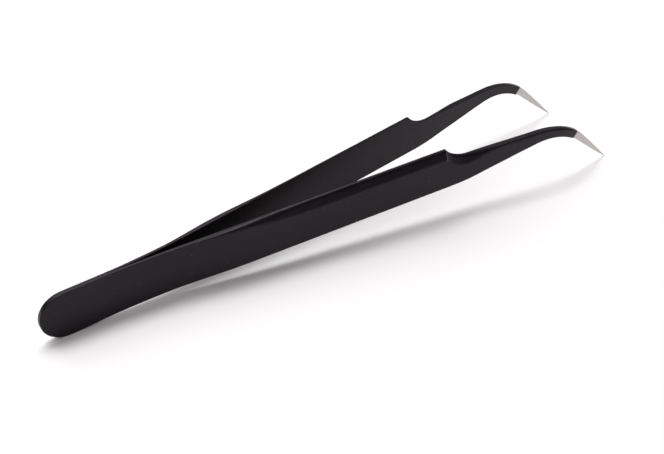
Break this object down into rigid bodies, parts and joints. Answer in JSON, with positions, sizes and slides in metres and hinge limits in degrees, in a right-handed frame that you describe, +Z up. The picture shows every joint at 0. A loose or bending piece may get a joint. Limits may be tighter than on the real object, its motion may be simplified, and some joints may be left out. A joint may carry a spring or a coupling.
{
  "type": "curved fine-point tweezers",
  "caption": "Black-coated spring steel tweezers with arms welded at a rounded heel, shouldered blades, narrow necks and curved bare needle points.",
  "frame": {"origin": "on the resting surface, under the middle of the object's box; the heel's rounded end and both points touch the surface", "axes": "+X from the heel to the points, +Y to the far arm, +Z up as the tweezers stand on their lower edges with the points turned down"},
  "size_m": [0.12, 0.0192, 0.0151],
  "materials": {
    "spring_steel": "finely ground, matte",
    "weld_steel": "fused, inside the heel",
    "black_coating": "satin black epoxy with a fine, even texture"
  },
  "bodies": {
    "heel": {"near_heel": "spring_steel", "far_heel": "spring_steel", "weld_nuggets": "weld_steel", "heel_coating": "black_coating"},
    "near_arm": {"near_flexure": "spring_steel", "near_flexure_coating": "black_coating", "near_blade": "spring_steel", "near_blade_coating": "black_coating"},
    "far_arm": {"far_flexure": "spring_steel", "far_flexure_coating": "black_coating", "far_blade": "spring_steel", "far_blade_coating": "black_coating"}
  },
  "joints": [
    {"name": "near_arm_squeeze", "type": "hinge", "parent": "heel", "child": "near_arm", "pos_m": [-0.04, -0.00058, 0.0055], "axis": [0, 0, 1], "range_deg": [0, 5], "stiffness_Nm_per_rad": 0.7, "deforming": ["near_flexure", "near_flexure_coating"]},
    {"name": "far_arm_squeeze", "type": "hinge", "parent": "heel", "child": "far_arm", "pos_m": [-0.04, 0.00058, 0.0055], "axis": [0, 0, -1], "range_deg": [0, 5], "stiffness_Nm_per_rad": 0.7, "deforming": ["far_flexure", "far_flexure_coating"]}
  ]
}
